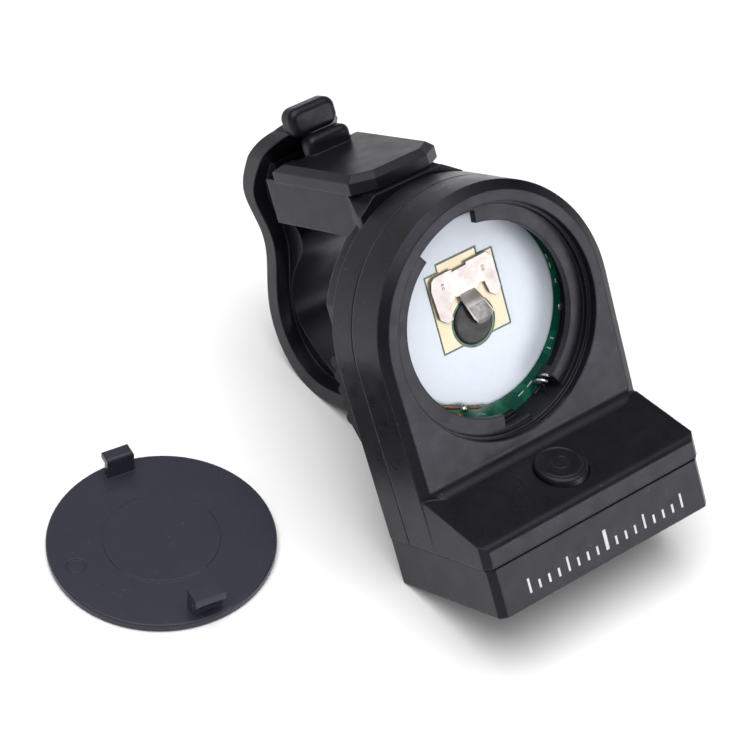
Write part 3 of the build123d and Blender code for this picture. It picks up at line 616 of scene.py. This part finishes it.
# short printed strokes round the board's rim: direction, length, and turn from it
STROKES = (
    (-1.25, 0.8, 90), (-1.12, 0.8, 90), (-0.72, 0.5, 0), (-0.62, 0.5, 0), (0.10, 0.6, 90), (0.20, 0.6, 90),
)
STROKE_RADIUS, STROKE_WIDTH = 11.0, 0.13
PRINT_THICKNESS = 0.015
strokes = []
for angle, length, turn in STROKES:
    x, y = STROKE_RADIUS * math.cos(angle), STROKE_RADIUS * math.sin(angle)
    outline = rectangle(x, y, length, STROKE_WIDTH, math.degrees(angle) + turn)
    strokes.append(prism(outline, BOARD_TOP - PRINT_THICKNESS, BOARD_TOP))
mesh_piece("board_marks", *joined(strokes), print_mat, "head", "film_white")

# ------------------------------------------------------------------ button relief
BUTTON_DEPTH = -4.2
# the ledge stands at this height up the head where it meets the rear face, and falls
# away with this slope as it comes out of it
LEDGE_TOP = -14.0
LEDGE_SLOPE = 3.5 / 8.53
# height of the button above the ledge
BUTTON_RISE = 0.75
BUTTON_TOP = LEDGE_TOP + LEDGE_SLOPE * BUTTON_DEPTH + BUTTON_RISE
RIDGE_STEPS = 48
RIDGE_BEVEL = 0.03
# the ridges and the bar start this far inside the button
SUNK = -0.02


def button_ridge(inner, outer, first, last, rise):
    """Ridge along an arc on the sloping top of the button; angles in degrees."""
    whole = last - first >= 360
    columns = RIDGE_STEPS if whole else RIDGE_STEPS + 1
    profile = ((inner, SUNK), (inner + RIDGE_BEVEL, rise), (outer - RIDGE_BEVEL, rise), (outer, SUNK))
    points = []
    for radius, lift in profile:
        for step in range(columns):
            angle = math.radians(first + (last - first) * step / RIDGE_STEPS)
            x, depth = radius * math.cos(angle), BUTTON_DEPTH + radius * math.sin(angle)
            points.append((x, BUTTON_TOP + LEDGE_SLOPE * (depth - BUTTON_DEPTH) + lift, depth))
    return points, grid_faces(len(profile), columns, whole)


def button_bar(width, near, far, rise):
    """Short straight bar on the button's top, between two distances from its axis."""
    points = []
    for lift in (SUNK, rise):
        for x, depth in ((-width / 2, near), (width / 2, near), (width / 2, far), (-width / 2, far)):
            points.append((x, BUTTON_TOP + LEDGE_SLOPE * depth + lift, BUTTON_DEPTH + depth))
    faces = [(0, 1, 2, 3), (7, 6, 5, 4), (0, 1, 5, 4), (1, 2, 6, 5), (2, 3, 7, 6), (3, 0, 4, 7)]
    return points, faces


# rim ring, then an open ring with a bar in its gap
relief = [
    button_ridge(2.02, 2.34, 0, 360, 0.10),
    button_ridge(0.78, 0.98, 125, 415, 0.06),
    button_bar(0.2, 0.35, 1.15, 0.06),
]
mesh_piece("button_relief", *joined(relief), button_mat, "button", "button_rubber")

# ------------------------------------------------------------------ printed scale on the foot
CAP_FACE = -8.48
SCALE_X, SCALE_LOW_Y = 0.24, -24.15
TICK_PITCH = 1.27
TICKS_EACH_SIDE = 8
LONG_TICK_EVERY = 4
# width and height of the middle tick, the long ticks and the short ticks
MIDDLE_TICK, LONG_TICK, SHORT_TICK = (0.42, 2.2), (0.26, 1.6), (0.26, 0.95)
ticks = []
for index in range(-TICKS_EACH_SIDE, TICKS_EACH_SIDE + 1):
    width, tall = MIDDLE_TICK if index == 0 else SHORT_TICK if index % LONG_TICK_EVERY else LONG_TICK
    outline = rectangle(SCALE_X + TICK_PITCH * index, SCALE_LOW_Y + tall / 2, width, tall)
    ticks.append(prism(outline, CAP_FACE - 0.012, CAP_FACE + 0.01))
mesh_piece("printed_scale", *joined(ticks), print_mat, "head", "film_white")

# ------------------------------------------------------------------ torsion spring
PIN_DEPTH, PIN_Y = 23.8, 12.9
COIL_RADIUS, COIL_WIRE_RADIUS = 1.2, 0.26
COIL_TURNS, STEPS_PER_TURN = 5, 16
COIL_HALF = 1.42
# depths of the legs' ends and bends, on the left and on the right of the coil
LEFT_LEG = (17.6, 20.5)
RIGHT_LEG = (22.0, 20.1)
LEG_Y = PIN_Y - COIL_RADIUS
coil_steps = COIL_TURNS * STEPS_PER_TURN
spring_places = [(-COIL_HALF, LEG_Y, depth) for depth in LEFT_LEG]
for step in range(coil_steps + 1):
    angle = 2 * math.pi * step / STEPS_PER_TURN
    spring_places.append((
        -COIL_HALF + 2 * COIL_HALF * step / coil_steps,
        PIN_Y - COIL_RADIUS * math.cos(angle),
        PIN_DEPTH + COIL_RADIUS * math.sin(angle),
    ))
spring_places += [(COIL_HALF, LEG_Y, depth) for depth in RIGHT_LEG]
curve = round_wire("torsion_coil", COIL_WIRE_RADIUS, pin_mat)
wire_line(curve, "POLY", spring_places).use_smooth = True
spring = bpy.data.objects.new("torsion_coil", curve)
bpy.context.scene.collection.objects.link(spring)
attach(spring, "clip")
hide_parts("torsion_spring")

# ------------------------------------------------------------------ stage
floor_mat, nodes, links, shader = new_material("floor")
floor_gloss = remap(nodes, links, noise(nodes, links, 0.01, 2.0), 0.0, 1.0, 0.55, 0.65)
links.new(floor_gloss, shader.inputs["Roughness"])
shader.inputs["Base Color"].default_value = (0.93, 0.93, 0.935, 1)
FLOOR_HALF = 3.0
floor_mesh = bpy.data.meshes.new("floor")
floor_corners = [(u * FLOOR_HALF, v * FLOOR_HALF, 0) for u, v in ((-1, -1), (1, -1), (1, 1), (-1, 1))]
floor_mesh.from_pydata(floor_corners, [], [(0, 1, 2, 3)])
floor = bpy.data.objects.new("floor", floor_mesh)
floor_mesh.materials.append(floor_mat)
bpy.context.scene.collection.objects.link(floor)
floor.location.z = cad_low.z

# brightness of the surroundings from straight below, 0, to straight above, 1
SKY_STOPS = [(0.0, 0.50), (0.2, 0.45), (0.36, 0.06), (0.64, 0.06), (0.8, 0.8), (1.0, 1.3)]
SKY_BLUE = 1.01
world = bpy.data.worlds.new("studio")
bpy.context.scene.world = world
world.use_nodes = True
wn, wl = world.node_tree.nodes, world.node_tree.links
background = wn["Background"]
background.inputs["Strength"].default_value = 1.0
sky = wn.new("ShaderNodeTexCoord")
split = wn.new("ShaderNodeSeparateXYZ")
wl.new(sky.outputs["Generated"], split.inputs[0])
ramp = wn.new("ShaderNodeValToRGB")
wl.new(split.outputs["Z"], ramp.inputs["Fac"])
for element, (position, level) in zip(ramp.color_ramp.elements, (SKY_STOPS[0], SKY_STOPS[-1])):
    element.position = position
    element.color = (level, level, level, 1)
for position, level in SKY_STOPS[1:-1]:
    element = ramp.color_ramp.elements.new(position)
    element.color = (level, level, level * SKY_BLUE, 1)
wl.new(ramp.outputs["Color"], background.inputs["Color"])


def area_light(name, offset, size, power):
    """Round soft light at an offset from the drum, turned towards it."""
    data = bpy.data.lights.new(name, "AREA")
    data.shape = "DISK"
    data.size = size
    data.energy = power
    lamp = bpy.data.objects.new(name, data)
    lamp.location = DRUM + Vector(offset)
    lamp.rotation_mode = "QUATERNION"
    lamp.rotation_quaternion = (DRUM - lamp.location).to_track_quat("-Z", "Y")
    bpy.context.scene.collection.objects.link(lamp)


area_light("overhead_box", (-0.08, -0.02, 0.62), 0.80, 4.2)
area_light("left_box", (-0.55, -0.20, 0.30), 0.35, 0.25)
area_light("right_front_box", (0.2754, -0.5286, 0.0648), 0.35, 1.5)

# ------------------------------------------------------------------ camera
CAMERA_LENS = 130.07
CAMERA_OFFSET = Vector((-0.1379, -0.1460, 0.1867))
VIEW_FORWARD = Vector((0.4591, 0.5498, -0.6978))
VIEW_RIGHT = Vector((0.7947, -0.6052, 0.0459))
camera_data = bpy.data.cameras.new("camera")
camera_data.lens = CAMERA_LENS
camera_data.sensor_width = 36.0
camera = bpy.data.objects.new("camera", camera_data)
forward = VIEW_FORWARD.normalized()
right = VIEW_RIGHT.normalized()
right = (right - forward * right.dot(forward)).normalized()
above = right.cross(forward)
eye = DRUM + CAMERA_OFFSET
camera.matrix_world = Matrix((
    (right.x, above.x, -forward.x, eye.x),
    (right.y, above.y, -forward.y, eye.y),
    (right.z, above.z, -forward.z, eye.z),
    (0, 0, 0, 1),
))
camera_data.clip_start = 0.005
bpy.context.scene.collection.objects.link(camera)
bpy.context.scene.camera = camera
bpy.context.scene.view_settings.view_transform = "Standard"
